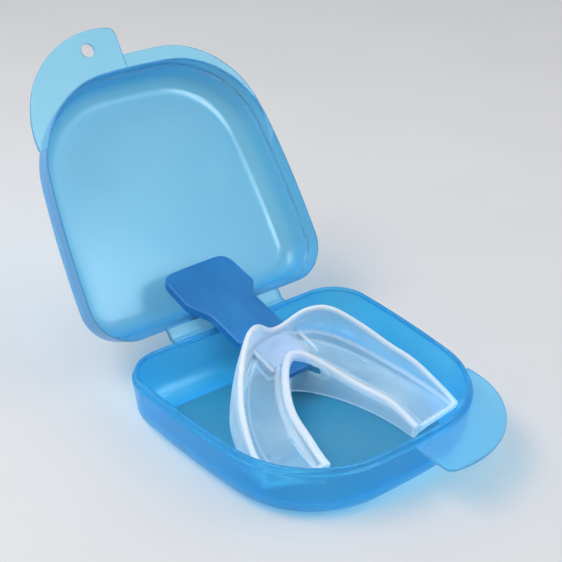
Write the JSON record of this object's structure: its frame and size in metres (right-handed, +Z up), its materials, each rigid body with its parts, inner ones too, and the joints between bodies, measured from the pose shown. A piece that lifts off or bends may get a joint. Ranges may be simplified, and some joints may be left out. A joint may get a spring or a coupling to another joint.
{
  "type": "mouthguard with case",
  "caption": "Boil-and-bite double mouthguard with its fitting handle, lying in an open hinged plastic case with finger tabs and a hang hole.",
  "frame": {"origin": "centre of the tray half's flat foot on the ground, midway between its hinge edge and its front edge", "axes": "+Z up, -Y towards the front tab of the case, +Y towards the hinge, +X to the right seen from the front"},
  "size_m": [0.078, 0.1399, 0.0885],
  "materials": {
    "case_blue": "translucent moulded polypropylene, smooth",
    "film_blue": "thin translucent polypropylene film",
    "tray_eva": "milky clear soft EVA",
    "handle_blue": "solid blue, fine satin"
  },
  "bodies": {
    "case": {"case_base": "case_blue", "hinge_film": "film_blue"},
    "cover": {"case_lid": "case_blue"},
    "tray": {"mouth_tray": "tray_eva"},
    "handle": {"fitting_handle": "handle_blue"}
  },
  "joints": [
    {"name": "lid_hinge", "type": "hinge", "parent": "case", "child": "cover", "pos_m": [0, 0.03985, 0.0145], "axis": [-1, 0, 0], "range_deg": [-10, 56]},
    {"name": "tray_lift", "type": "slide", "parent": "case", "child": "tray", "axis": [0, 0, 1], "range_m": [0, 0.06]},
    {"name": "handle_pull", "type": "slide", "parent": "tray", "child": "handle", "axis": [-0.0486, 0.9595, 0.2773], "range_m": [0, 0.015]}
  ],
  "couplings": [
    {"joint": "handle_pull", "follows": "tray_lift", "ratio": 0.25}
  ]
}
